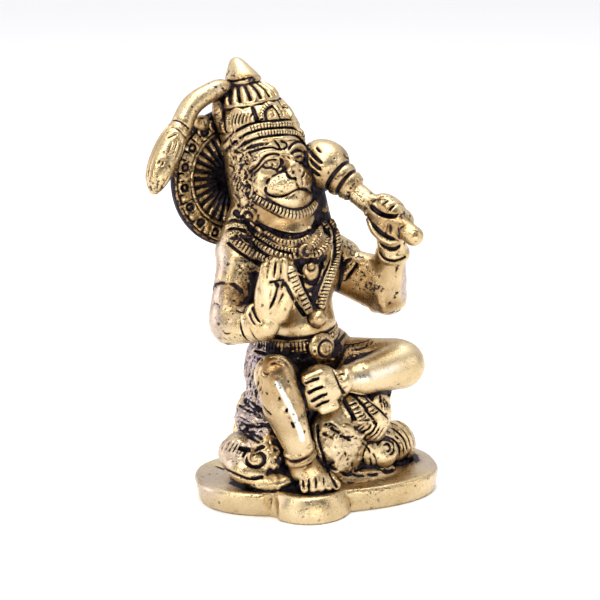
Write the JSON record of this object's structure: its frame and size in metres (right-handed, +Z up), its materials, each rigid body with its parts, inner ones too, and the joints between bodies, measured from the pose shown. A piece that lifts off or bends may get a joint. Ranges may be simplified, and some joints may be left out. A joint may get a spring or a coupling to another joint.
{
  "type": "seated hanuman idol",
  "caption": "Small antique-finish cast-brass idol: seated monkey-faced guardian with mace, raised blessing hand, curling tail and halo disc, on a rock seat and lobed plinth",
  "frame": {"origin": "middle of the bounding box in plan, on the plinth's underside", "axes": "+Z up, the plinth's long side along X, the plinth's front lobe faces -Y, +X is the figure's left; the figure is turned 12.5 degrees to its left on the plinth"},
  "size_m": [0.0744, 0.043, 0.1126],
  "materials": {
    "brass": "cast, hand polished on the high spots, black antique patina in the recesses"
  },
  "bodies": {
    "root": {"hanuman_figure": "brass"}
  },
  "joints": []
}
